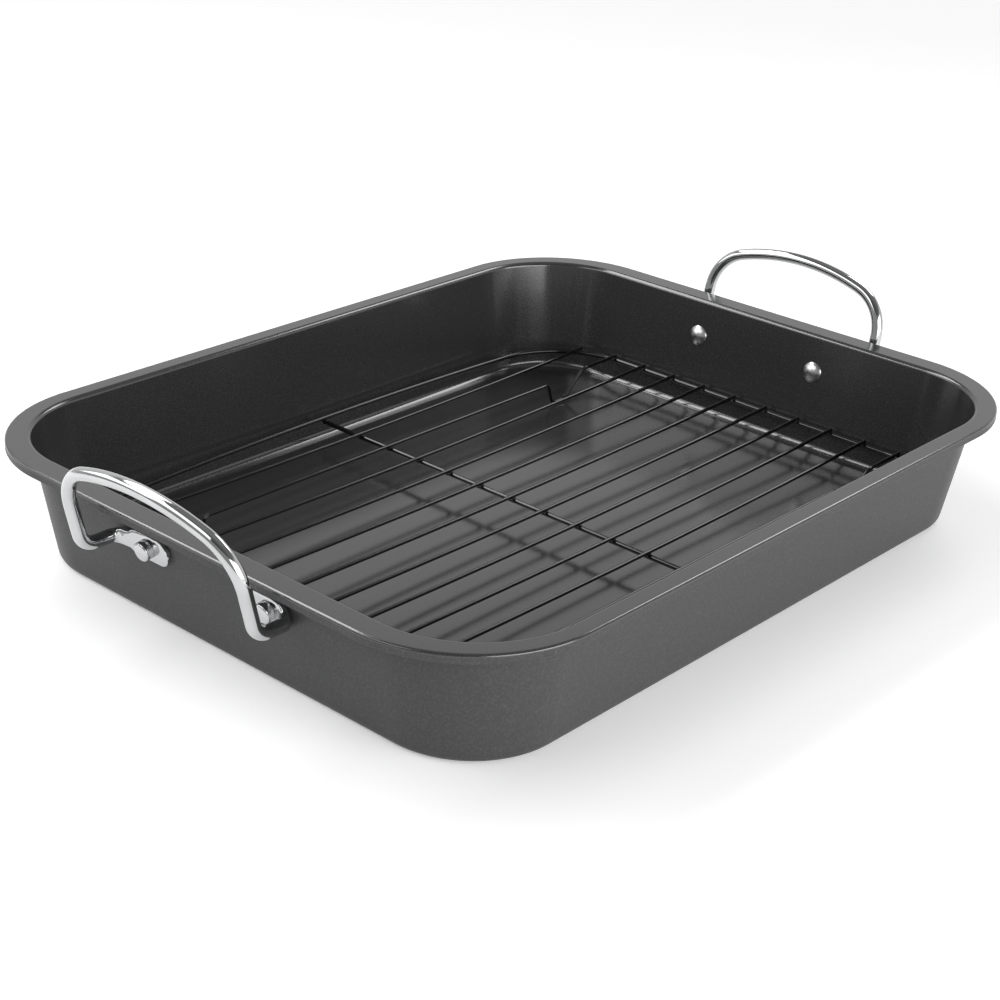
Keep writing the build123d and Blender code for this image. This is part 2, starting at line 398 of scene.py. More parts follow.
@dataclass(frozen=True)
class PanCoating:
    """Dark grey non-stick coating with fine flakes, baked on the pan's sheet."""

    name: str
    base: float
    flake: float
    roughness: float
    roughness_spread: float
    flake_scale: float = 900.0
    flake_amount: float = 0.55
    cloud_shade: float = 0.96
    grain_scale: float = 1500.0
    grain: float = 0.6
    grain_height: float = 0.00002
    grain_strength: float = 0.35
    specular: float = 0.5

    def build(self) -> bpy.types.Material:
        """Builds the coating's material.

        Returns:
            The material.
        """
        made, graph, shader = open_material(self.name)
        flakes = place_group(
            graph, EffectGroups.flake(), Scale=self.flake_scale, Amount=self.flake_amount
        )
        dark = (self.base, self.base, self.base * 1.03)
        pale = (self.flake, self.flake, self.flake * 1.02)
        colour = graph.ramp(flakes.outputs["Mask"], [(0.0, dark), (1.0, pale)])
        shades = zip(CLOUD_SPAN, (self.cloud_shade, 1.0))
        stops = [(place, (shade, shade, shade)) for place, shade in shades]
        tone = graph.ramp(flakes.outputs["Cloud"], stops)
        mixed = graph.node("ShaderNodeMix", data_type="RGBA", blend_type="MULTIPLY")
        mixed.inputs["Factor"].default_value = 1.0
        graph.link(colour, mixed.inputs["A"])
        graph.link(tone, mixed.inputs["B"])
        graph.link(mixed.outputs["Result"], shader.inputs["Base Color"])
        reach = (self.roughness - self.roughness_spread, self.roughness + self.roughness_spread)
        vary_roughness(graph, shader, flakes.outputs["Cloud"], reach)
        shader.inputs["Specular IOR Level"].default_value = self.specular
        skin = place_group(
            graph, EffectGroups.skin(), Grain_Scale=self.grain_scale, Grain=self.grain, Ripple=0.0
        )
        add_bump(graph, shader, skin.outputs["Height"], self.grain_height, self.grain_strength)
        return made


@dataclass(frozen=True)
class ChromePlate:
    """Bright plated metal with slow smudges, a faint grain and a ripple."""

    name: str
    tint: tuple[float, float, float] = (0.55, 0.555, 0.56)
    smudge_shade: float = 0.9
    smudge_scale: float = 70.0
    roughness: float = 0.07
    smudge: float = 0.07
    grain_scale: float = 900.0
    grain: float = 0.12
    ripple: float = 0.5
    ripple_scale: float = 60.0
    height: float = 0.00003
    strength: float = 0.25

    def build(self) -> bpy.types.Material:
        """Builds the plate's material.

        Returns:
            The material.
        """
        made, graph, shader = open_material(self.name)
        cloud = place_group(
            graph, EffectGroups.flake(), Cloud_Scale=self.smudge_scale
        ).outputs["Cloud"]
        worn = tuple(self.smudge_shade * value for value in self.tint)
        colour = graph.ramp(cloud, [(0.25, worn), (0.6, self.tint)])
        graph.link(colour, shader.inputs["Base Color"])
        reach = (self.roughness, self.roughness + self.smudge)
        vary_roughness(graph, shader, cloud, reach, (0.35, 0.8))
        shader.inputs["Metallic"].default_value = 1.0
        skin = place_group(
            graph,
            EffectGroups.skin(),
            Grain_Scale=self.grain_scale,
            Grain=self.grain,
            Ripple_Scale=self.ripple_scale,
            Ripple=self.ripple,
        )
        add_bump(graph, shader, skin.outputs["Height"], self.height, self.strength)
        return made


@dataclass(frozen=True)
class RackCoating:
    """Black non-stick coating on the rack's wires, brighter where rubbed."""

    name: str
    base: tuple[float, float, float] = (0.0025, 0.0025, 0.003)
    rubbed: tuple[float, float, float] = (0.014, 0.014, 0.015)
    roughness: float = 0.16
    roughness_spread: float = 0.03
    flake_scale: float = 700.0
    cloud_scale: float = 90.0
    flake_amount: float = 0.5
    wear_start: float = 0.56
    wear_end: float = 0.72
    grain_scale: float = 1600.0
    ripple_scale: float = 220.0
    unevenness: float = 0.5
    height: float = 0.00002
    strength: float = 0.2

    def build(self) -> bpy.types.Material:
        """Builds the coating's material.

        Returns:
            The material.
        """
        made, graph, shader = open_material(self.name)
        flakes = place_group(
            graph,
            EffectGroups.flake(),
            Scale=self.flake_scale,
            Cloud_Scale=self.cloud_scale,
            Amount=self.flake_amount,
        )
        wear = place_group(
            graph, EffectGroups.edge_wear(), Start=self.wear_start, End=self.wear_end
        )
        spots = graph.sums("MAXIMUM", flakes.outputs["Mask"], wear.outputs["Mask"])
        colour = graph.ramp(spots, [(0.0, self.base), (1.0, self.rubbed)])
        graph.link(colour, shader.inputs["Base Color"])
        reach = (self.roughness - self.roughness_spread, self.roughness + self.roughness_spread)
        vary_roughness(graph, shader, flakes.outputs["Cloud"], reach)
        skin = place_group(
            graph,
            EffectGroups.skin(),
            Grain_Scale=self.grain_scale,
            Grain=self.unevenness,
            Ripple_Scale=self.ripple_scale,
            Ripple=self.unevenness,
        )
        add_bump(graph, shader, skin.outputs["Height"], self.height, self.strength)
        return made


INSIDE_COATING = PanCoating(
    "pan_coating_inside",
    base=0.028,
    flake=0.05,
    roughness=0.16,
    roughness_spread=0.01,
    grain_strength=0.08,
    specular=1.0,
)
OUTSIDE_COATING = PanCoating(
    "pan_coating_outside",
    base=0.075,
    flake=0.14,
    roughness=0.42,
    roughness_spread=0.02,
    grain_strength=0.6,
    specular=0.15,
)
HANDLE_PLATE = ChromePlate("handle_chrome_plate")
RIVET_METAL = ChromePlate(
    "rivet_upset_metal",
    tint=(0.58, 0.58, 0.59),
    roughness=0.24,
    smudge=0.08,
    ripple=0.2,
    ripple_scale=120.0,
    height=0.00004,
)
RACK_COATING = RackCoating("rack_wire_coating")


# Mesh building


class RingMesh:
    """A mesh skinned over rings that all have the same number of points."""

    def __init__(self) -> None:
        """Starts an empty mesh."""
        self.points: list[Vector] = []
        self.faces: list[tuple[int, ...]] = []
        self.slots: list[int] = []

    def skin(self, rings: list[Ring], slots: list[int] | None = None) -> None:
        """Joins rings in order with bands of faces.

        Args:
            rings: The rings, each running the same way round.
            slots: Material slot of each band.
        """
        first = len(self.points)
        count = len(rings[0])
        for ring in rings:
            self.points.extend(ring)
        for band in range(len(rings) - 1):
            low = first + band * count
            high = low + count
            for index in range(count):
                after = (index + 1) % count
                self.faces.append((low + index, low + after, high + after, high + index))
                self.slots.append(slots[band] if slots else 0)

    def cap(self, ring_start: int, count: int, centre: Vector, flip: bool, slot: int = 0) -> None:
        """Closes a ring with a fan.

        Args:
            ring_start: Index of the ring's first point.
            count: Number of points in the ring.
            centre: Middle of the fan.
            flip: True to turn the fan's faces round.
            slot: Material slot of the fan.
        """
        self.points.append(centre)
        tip = len(self.points) - 1
        for index in range(count):
            pair = (ring_start + index, ring_start + (index + 1) % count)
            self.faces.append((pair[1], pair[0], tip) if flip else (pair[0], pair[1], tip))
            self.slots.append(slot)

    def close_ends(self, rings: list[Ring]) -> None:
        """Closes the first and the last ring with a fan.

        Args:
            rings: The rings that the mesh was skinned over.
        """
        for number, flip in ((0, True), (len(rings) - 1, False)):
            ring = rings[number]
            self.cap(number * len(ring), len(ring), sum(ring, Vector()) / len(ring), flip)

    def make(
        self, name: str, materials: list[bpy.types.Material], turn: Matrix | None = None
    ) -> bpy.types.Object:
        """Makes the object.

        Args:
            name: The object's name.
            materials: Its materials, in slot order.
            turn: Turn that puts the points in place.

        Returns:
            The object, in the scene.
        """
        mesh = bpy.data.meshes.new(name)
        points = [turn @ point for point in self.points] if turn else self.points
        mesh.from_pydata([tuple(point) for point in points], [], self.faces)
        for material in materials:
            mesh.materials.append(material)
        mesh.polygons.foreach_set("material_index", self.slots)
        mesh.polygons.foreach_set("use_smooth", [True] * len(mesh.polygons))
        mesh.update()
        made = bpy.data.objects.new(name, mesh)
        bpy.context.scene.collection.objects.link(made)
        return made


def even(count: int, low: float = 0.0, high: float = 1.0) -> list[float]:
    """Evenly spaced values from low to high, both ends included."""
    return [low + (high - low) * index / (count - 1) for index in range(count)]


def smooth_step(value: float, low: float, high: float) -> float:
    """A smooth rise from 0 at low to 1 at high."""
    share = max(0.0, min(1.0, (value - low) / (high - low)))
    return share * share * (3 - 2 * share)


def mix(first: float, second: float, share: float) -> float:
    """The value a share of the way from first to second."""
    return first + (second - first) * share


# The pan


@dataclass
class PanBody:
    """Drawn sheet pan: sloping walls, floor bend, flat flange and turned-down lip."""

    sheet: float = 1.0
    depth: float = 61.5
    base_half: tuple[float, float] = (188.1, 146.2)
    base_corner: float = 44.4
    top_half: tuple[float, float] = (198.7, 156.5)
    top_corner: float = 53.7
    floor_bend: float = 5.0
    rim_half: tuple[float, float] = (210.7, 165.5)
    rim_corner: float = 64.6
    rim_bend: float = 2.4
    lip_depth: float = 4.2
    lip_edge: float = 1.2
    sheet_edge: float = 0.3
    bend_steps: int = 9
    floor_steps: int = 8
    wall_steps: int = 7
    corner_steps: int = 40
    side_steps: int = 14
    normal_weight: int = 60
    body: Body = Body.PAN
    slopes: tuple[float, float] = field(init=False)

    def __post_init__(self) -> None:
        """Works out the slopes of the end and side walls."""
        self.slopes = tuple(
            (top - base) / self.depth for top, base in zip(self.top_half, self.base_half)
        )

    def end_x(self, height: float) -> float:
        """Distance of the end wall's outer face from the pan's middle."""
        return self.base_half[0] + self.slopes[0] * height

    def outline(self, half: tuple[float, float], corner: float, height: float) -> Ring:
        """One rounded rectangle round the pan.

        Args:
            half: Half length and half width.
            corner: Corner radius.
            height: Height of the ring.

        Returns:
            The ring in metres, running anticlockwise seen from above.
        """
        ring: Ring = []
        signs = ((1, 1), (-1, 1), (-1, -1), (1, -1))
        for quarter, (sign_x, sign_y) in enumerate(signs):
            centre = Vector((sign_x * (half[0] - corner), sign_y * (half[1] - corner), height))
            start = quarter * math.pi / 2
            arc = [
                centre + corner * Vector((math.cos(angle), math.sin(angle), 0))
                for angle in even(self.corner_steps + 1, start, start + math.pi / 2)
            ]
            after_x, after_y = signs[(quarter + 1) % 4]
            after_centre = Vector(
                (after_x * (half[0] - corner), after_y * (half[1] - corner), height)
            )
            turned = start + math.pi / 2
            target = after_centre + corner * Vector((math.cos(turned), math.sin(turned), 0))
            ring.extend(arc)
            for share in even(self.side_steps + 2)[1:-1]:
                ring.append(arc[-1].lerp(target, share))
        return [point * MM for point in ring]

    def wall_ring(self, height: float, inset: float, bend: float) -> Ring:
        """A ring on the wall, rounded into the floor at its foot.

        Args:
            height: Height of the ring.
            inset: Distance inwards from the wall's outer face.
            bend: Radius of the bend at the floor, on this face.

        Returns:
            The ring.
        """
        floor = self.sheet if inset else 0.0
        half = []
        pulls = []
        for base, slope in zip(self.base_half, self.slopes):
            lean = math.atan(slope)
            # Centre of the floor bend, which touches the floor and the wall
            centre_x = base + slope * (floor + bend) - inset - bend / math.cos(lean)
            plain = base + slope * height - inset
            rise = height - floor
            if rise < bend * (1 - math.sin(lean)):
                reach = math.sqrt(max(0.0, bend**2 - (bend - rise) ** 2))
                half.append(centre_x + reach)
            else:
                half.append(plain)
            pulls.append(plain - half[-1])
        growth = (self.top_corner - self.base_corner) / self.depth
        corner = self.base_corner + growth * height - inset - sum(pulls) / 2
        return self.outline((half[0], half[1]), corner, height)

    def flare_ring(self, angle: float, inset: float, bend: float, top: float) -> Ring:
        """A ring on the bend between the wall and the flange.

        Args:
            angle: Turn of the bend, from the wall's lean to a right angle.
            inset: Distance inwards from the wall's outer face.
            bend: Bend radius on this face.
            top: Height of the flange's face on this side.

        Returns:
            The ring.
        """
        height = top - bend + bend * math.sin(angle)
        half = []
        for base, slope in zip(self.base_half, self.slopes):
            lean = math.atan(slope)
            centre_x = base + slope * (top - bend) - inset + bend / math.cos(lean)
            half.append(centre_x - bend * math.cos(angle))
        growth = (self.top_corner - self.base_corner) / self.depth
        plain = self.base_half[0] + self.slopes[0] * height - inset
        corner = self.base_corner + growth * height - inset + (half[0] - plain)
        return self.outline((half[0], half[1]), corner, height)

    def rim_ring(self, inset: float, height: float) -> Ring:
        """A ring on the flange or lip, a distance in from the rim's edge."""
        half = (self.rim_half[0] - inset, self.rim_half[1] - inset)
        return self.outline(half, self.rim_corner - inset, height)

    def floor_rings(self, height: float, inset: float, bend: float) -> list[Ring]:
        """Rings across the flat floor, from the bend towards the middle.

        Args:
            height: Height of the face.
            inset: Distance inwards from the wall's outer face.
            bend: Radius of the floor bend on this face.

        Returns:
            The rings, the widest first.
        """
        edge = self.wall_ring(height, inset, bend)
        middle = Vector((0, 0, height * MM))
        return [
            [middle.lerp(point, share) for point in edge]
            for share in even(self.floor_steps + 1, 1.0, 0.0)[:-1]
        ]

    def build(self, inside: bpy.types.Material, outside: bpy.types.Material) -> bpy.types.Object:
        """Builds the pan's mesh.

        Args:
            inside: Finish of the cooking side and the flange, with its rounded edge.
            outside: Finish of the lip, the walls' outer faces and the underside.

        Returns:
            The pan's object.
        """
        rings: list[Ring] = []
        slots: list[int] = []

        def add(ring: Ring, skin: PanSkin) -> None:
            """Adds a ring and the finish of the band that follows it."""
            rings.append(ring)
            slots.append(skin.value)

        half_pi = math.pi / 2
        lean = math.atan(self.slopes[0])
        inner_floor_bend = self.floor_bend - self.sheet
        under = self.depth - self.sheet
        under_bend = self.rim_bend - self.sheet
        # Cooking side: floor, floor bend, wall, flare
        for ring in reversed(self.floor_rings(self.sheet, self.sheet, inner_floor_bend)):
            add(ring, PanSkin.INSIDE)
        for angle in even(self.bend_steps, 0.0, half_pi - lean)[1:]:
            rise = inner_floor_bend * (1 - math.cos(angle))
            add(self.wall_ring(self.sheet + rise, self.sheet, inner_floor_bend), PanSkin.INSIDE)
        flare_foot = self.depth - self.rim_bend + self.rim_bend * math.sin(lean)
        wall_foot = self.sheet + inner_floor_bend
        for height in even(self.wall_steps, wall_foot, flare_foot)[1:-1]:
            add(self.wall_ring(height, self.sheet, inner_floor_bend), PanSkin.INSIDE)
        for angle in even(self.bend_steps, lean, half_pi):
            add(self.flare_ring(angle, self.sheet, self.rim_bend, self.depth), PanSkin.INSIDE)
        # Flange, rounded edge and lip
        add(self.rim_ring(self.lip_edge * 2, self.depth), PanSkin.INSIDE)
        for angle in even(self.bend_steps, 0.0, half_pi)[:-1]:
            inset = self.lip_edge * (1 - math.sin(angle))
            drop = self.lip_edge * (1 - math.cos(angle))
            add(self.rim_ring(inset, self.depth - drop), PanSkin.INSIDE)
        add(self.rim_ring(0.0, self.depth - self.lip_edge), PanSkin.OUTSIDE)
        foot = self.depth - self.lip_depth
        edge = self.sheet_edge
        left = edge * ROUND_LEFT
        for inset, rise in (
            (0.0, 2 * edge),
            (0.0, edge),
            (left, left),
            (edge, 0.0),
            (self.sheet - edge, 0.0),
            (self.sheet - left, left),
            (self.sheet, edge),
            (self.sheet, 2 * edge),
        ):
            add(self.rim_ring(inset, foot + rise), PanSkin.OUTSIDE)
        # Underside of the flange, back to the wall
        add(self.rim_ring(self.sheet, under - self.sheet_edge), PanSkin.OUTSIDE)
        add(self.rim_ring(self.sheet + self.sheet_edge, under), PanSkin.OUTSIDE)
        for angle in even(self.bend_steps, half_pi, lean):
            add(self.flare_ring(angle, 0.0, under_bend, under), PanSkin.OUTSIDE)
        for height in even(self.wall_steps, under - under_bend, self.floor_bend)[1:]:
            add(self.wall_ring(height, 0.0, self.floor_bend), PanSkin.OUTSIDE)
        for angle in even(self.bend_steps, half_pi - lean, 0.0)[1:]:
            rise = self.floor_bend * (1 - math.cos(angle))
            add(self.wall_ring(rise, 0.0, self.floor_bend), PanSkin.OUTSIDE)
        for ring in self.floor_rings(0.0, 0.0, self.floor_bend)[1:]:
            add(ring, PanSkin.OUTSIDE)

        mesh = RingMesh()
        mesh.skin(rings, slots)
        count = len(rings[0])
        mesh.cap(0, count, Vector((0, 0, self.sheet * MM)), True, PanSkin.INSIDE.value)
        last = (len(rings) - 1) * count
        mesh.cap(last, count, Vector((0, 0, 0)), False, PanSkin.OUTSIDE.value)
        made = mesh.make("pan_sheet", [inside, outside])
        weighted = made.modifiers.new("flat_faces_stay_flat", "WEIGHTED_NORMAL")
        weighted.weight = self.normal_weight
        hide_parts("pan_body")
        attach(made, self.body.value)
        return made


# The handles


@dataclass
class Station:
    """One cross-section of the handle's wire."""

    centre: Vector
    along: Vector
    up: Vector
    height: float
    thickness: float
    squareness: float


@dataclass
class WireHandle:
    """Arch of round wire whose ends are flattened into paddles on the end wall."""

    end: End
    wire: float = 6.35
    foot_half: float = 55.75
    shoulder_half: float = 55.2
    foot_distance: float = 215.6
    foot_height: float = 40.5
    shoulder_rise: float = 36.3
    crown_rise: float = 48.35
    lean: float = math.radians(13.5)
    shoulder_radius: float = 23.8
    foot_radius: float = 8.0
    offset: float = 4.0
    arm_radius: float = 6.0
    paddle_length: float = 27.0
    paddle_height: float = 13.0
    paddle_thickness: float = 2.6
    paddle_squareness: float = 5.0
    paddle_gap: float = 0.02
    paddle_tip: float = 0.18
    neck_height: float = 8.2
    neck_swell: float = 1.35
    neck_run: tuple[float, float] = (-6.0, 2.0)
    rivet_half: float = 38.5
    rivet_height: float = 41.2
    wire_squareness: float = 2.0
    leg_start: float = 0.35
    leg_steps: int = 8
    arc_steps: int = 22
    tip_steps: int = 9
    paddle_steps: int = 14
    turn_steps: int = 13
    foot_steps: int = 12
    points_round: int = 40
    body: Body = Body.PAN

    def arch_frame(self) -> tuple[Vector, Vector, Vector]:
        """The arch's plane: origin, the way up along it, and outwards square to it."""
        origin = Vector((self.foot_distance, -self.offset, self.foot_height))
        up = Vector((math.sin(self.lean), 0, math.cos(self.lean)))
        out = Vector((math.cos(self.lean), 0, -math.sin(self.lean)))
        return origin, up, out

    def round_station(self, centre: Vector, along: Vector, up: Vector) -> Station:
        """A section where the wire is still round."""
        return Station(centre, along, up, self.wire, self.wire, self.wire_squareness)

    def half_arch(self) -> list[tuple[float, float, float, float]]:
        """Half of the arch in its own plane, from the leg to the crown.

        Returns:
            Place across, place along, and the direction's two parts at each point.
        """
        shoulder = self.shoulder_rise / math.cos(self.lean)
        crown = self.crown_rise / math.cos(self.lean)
        rise = crown - shoulder
        big = (self.shoulder_half**2 + rise**2) / (2 * rise)
        big_centre = Vector((0.0, crown - big))
        foot = Vector((self.foot_half, 0.0))
        leg = (Vector((self.shoulder_half, shoulder)) - foot).normalized()
        inward = Vector((-leg.y, leg.x))
        start = foot + inward * self.shoulder_radius - big_centre
        # The shoulder's centre lies at its radius from the leg and from the top arc
        half_b = start.dot(leg)
        rest = start.dot(start) - (big - self.shoulder_radius) ** 2
        travel = -half_b + math.sqrt(half_b**2 - rest)
        centre = foot + inward * self.shoulder_radius + leg * travel
        leg_top = foot + leg * travel
        towards = (centre - big_centre).normalized()
        found: list[tuple[float, float, float, float]] = []
        for share in even(self.leg_steps, self.leg_start, 1.0)[:-1]:
            point = foot.lerp(leg_top, share)
            found.append((point.x, point.y, leg.x, leg.y))
        start_angle = math.atan2(-inward.y, -inward.x)
        end_angle = math.atan2(towards.y, towards.x)
        for angle in even(self.arc_steps, start_angle, end_angle):
            point = centre + self.shoulder_radius * Vector((math.cos(angle), math.sin(angle)))
            found.append((point.x, point.y, -math.sin(angle), math.cos(angle)))
        for angle in even(self.arc_steps, end_angle, math.pi / 2)[1:]:
            point = big_centre + big * Vector((math.cos(angle), math.sin(angle)))
            found.append((point.x, point.y, -math.sin(angle), math.cos(angle)))
        return found

    def paddle_stations(self, side: int, pan: PanBody) -> list[Station]:
        """Sections of one paddle, its neck and the turn away from the wall.

        Args:
            side: 1 for the paddle at higher Y, -1 for the other.
            pan: The pan that the paddle lies on.

        Returns:
            Sections from the paddle's inner end to the arm.
        """
        wall_lean = math.atan(pan.slopes[0])
        wall_up = Vector((math.sin(wall_lean), 0, math.cos(wall_lean)))
        wall_out = Vector((math.cos(wall_lean), 0, -math.sin(wall_lean)))
        seat_x = pan.end_x(self.rivet_height)
        end_radius = self.paddle_height / 2
        inner = self.rivet_half - self.paddle_length / 2
        outer = self.rivet_half + self.paddle_length / 2
        arm_y = self.foot_half - side * self.offset
        turn_y = arm_y - self.arm_radius
        found: list[Station] = []
        along = Vector((0, side, 0))
        tip = even(self.tip_steps, self.paddle_tip, math.pi / 2)
        plan = [inner + end_radius * (1 - math.cos(angle)) for angle in tip]
        plan += even(self.paddle_steps, inner + end_radius, turn_y)[1:]
        swell_start = min(outer, turn_y) + self.neck_run[0]
        swell_end = turn_y + self.neck_run[1]
        for place in plan:
            if place < inner + end_radius:
                half_height = math.sqrt(
                    max(0.0, end_radius**2 - (inner + end_radius - place) ** 2)
                )
            elif place > outer - end_radius:
                round_off = math.sqrt(
                    max(0.0, end_radius**2 - (place - outer + end_radius) ** 2)
                )
                half_height = max(round_off, self.neck_height / 2)
            else:
                half_height = end_radius
            swell = smooth_step(place, swell_start, swell_end)
            neck_thickness = self.paddle_thickness * self.neck_swell
            thickness = mix(self.paddle_thickness, neck_thickness, swell)
            centre = Vector((seat_x, side * place, self.rivet_height))
            centre += wall_out * (thickness / 2 + self.paddle_gap)
            size = (2 * half_height, thickness)
            found.append(Station(centre, along, wall_up, *size, self.paddle_squareness))
        # Turn from along the wall to straight out from it
        arm_x = pan.end_x(self.foot_height) + self.paddle_thickness / 2 + self.arm_radius
        begin = found[-1]
        for share in even(self.turn_steps)[1:]:
            angle = share * math.pi / 2
            place = Vector(
                (
                    arm_x - self.arm_radius * math.cos(angle),
                    side * (turn_y + self.arm_radius * math.sin(angle)),
                    mix(self.rivet_height, self.foot_height, share),
                )
            )
            shift = begin.centre - Vector(
                (arm_x - self.arm_radius, side * turn_y, self.rivet_height)
            )
            place += shift * (1 - share)
            heading = Vector((math.sin(angle), side * math.cos(angle), 0))
            up = wall_up.lerp(Vector((0, 0, 1)), share).normalized()
            ease = smooth_step(share, 0.0, 1.0)
            found.append(
                Station(
                    place,
                    heading,
                    up,
                    mix(begin.height, self.wire, ease),
                    mix(begin.thickness, self.wire, ease),
                    mix(self.paddle_squareness, self.wire_squareness, min(1.0, 2 * share)),
                )
            )
        return found

    def foot_stations(self, side: int) -> list[Station]:
        """Sections of the bend between an arm and its leg.

        Args:
            side: 1 for the leg at higher Y, -1 for the other.

        Returns:
            Sections from the arm to the leg.
        """
        origin, up, _ = self.arch_frame()
        across = Vector((0, 1, 0))
        corner = origin + across * (side * self.foot_half)
        shoulder = self.shoulder_rise / math.cos(self.lean)
        leg_end = origin + across * (side * self.shoulder_half) + up * shoulder
        leg = (leg_end - corner).normalized()
        arm = Vector((1, 0, 0))
        turn = math.acos(max(-1.0, min(1.0, arm.dot(leg))))
        reach = self.foot_radius * math.tan(turn / 2)
        start = corner - arm * reach
        side_way = (leg - arm * arm.dot(leg)).normalized()
        centre = start + side_way * self.foot_radius
        found = []
        for angle in even(self.foot_steps, 0.0, turn):
            point = centre + self.foot_radius * (
                arm * math.sin(angle) - side_way * math.cos(angle)
            )
            heading = arm * math.cos(angle) + side_way * math.sin(angle)
            height_way = side_way * math.cos(angle) - arm * math.sin(angle)
            found.append(self.round_station(point, heading, height_way))
        return found

    def stations(self, pan: PanBody) -> list[Station]:
        """All sections of the handle, from one paddle over the arch to the other.

        Args:
            pan: The pan that the paddles lie on.

        Returns:
            The sections in order.
        """
        origin, up, out = self.arch_frame()
        across = Vector((0, 1, 0))
        halves: list[list[Station]] = []
        for side in (-1, 1):
            run = self.paddle_stations(side, pan) + self.foot_stations(side)
            for x, t, dx, dt in self.half_arch():
                point = origin + across * (side * x) + up * t
                heading = (across * (side * dx) + up * dt).normalized()
                run.append(self.round_station(point, heading, -out))
            halves.append(run)
        back = [
            Station(s.centre, -s.along, s.up, s.height, s.thickness, s.squareness)
            for s in reversed(halves[1][:-1])
        ]
        return halves[0] + back

    def section(self, station: Station) -> Ring:
        """The ring of one cross-section, in metres.

        Args:
            station: The section's place, size and squareness.

        Returns:
            The ring.
        """
        sideways = station.along.cross(station.up).normalized()
        power = 2.0 / station.squareness
        ring: Ring = []
        for index in range(self.points_round):
            angle = 2 * math.pi * index / self.points_round
            c, s = math.cos(angle), math.sin(angle)
            high = math.copysign(abs(c) ** power, c) * station.height / 2
            wide = math.copysign(abs(s) ** power, s) * station.thickness / 2
            ring.append((station.centre + station.up * high + sideways * wide) * MM)
        return ring

    def build(self, pan: PanBody, plate: bpy.types.Material) -> bpy.types.Object:
        """Builds the handle's mesh.

        Args:
            pan: The pan that the handle is riveted to.
            plate: The wire's finish.

        Returns:
            The handle's object.
        """
        rings = [self.section(station) for station in self.stations(pan)]
        mesh = RingMesh()
        mesh.skin(rings)
        mesh.close_ends(rings)
        made = mesh.make(f"wire_handle_{self.end.label}", [plate], self.end.turn)
        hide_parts(f"handle_{self.end.label}")
        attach(made, self.body.value)
        return made


# The rivets


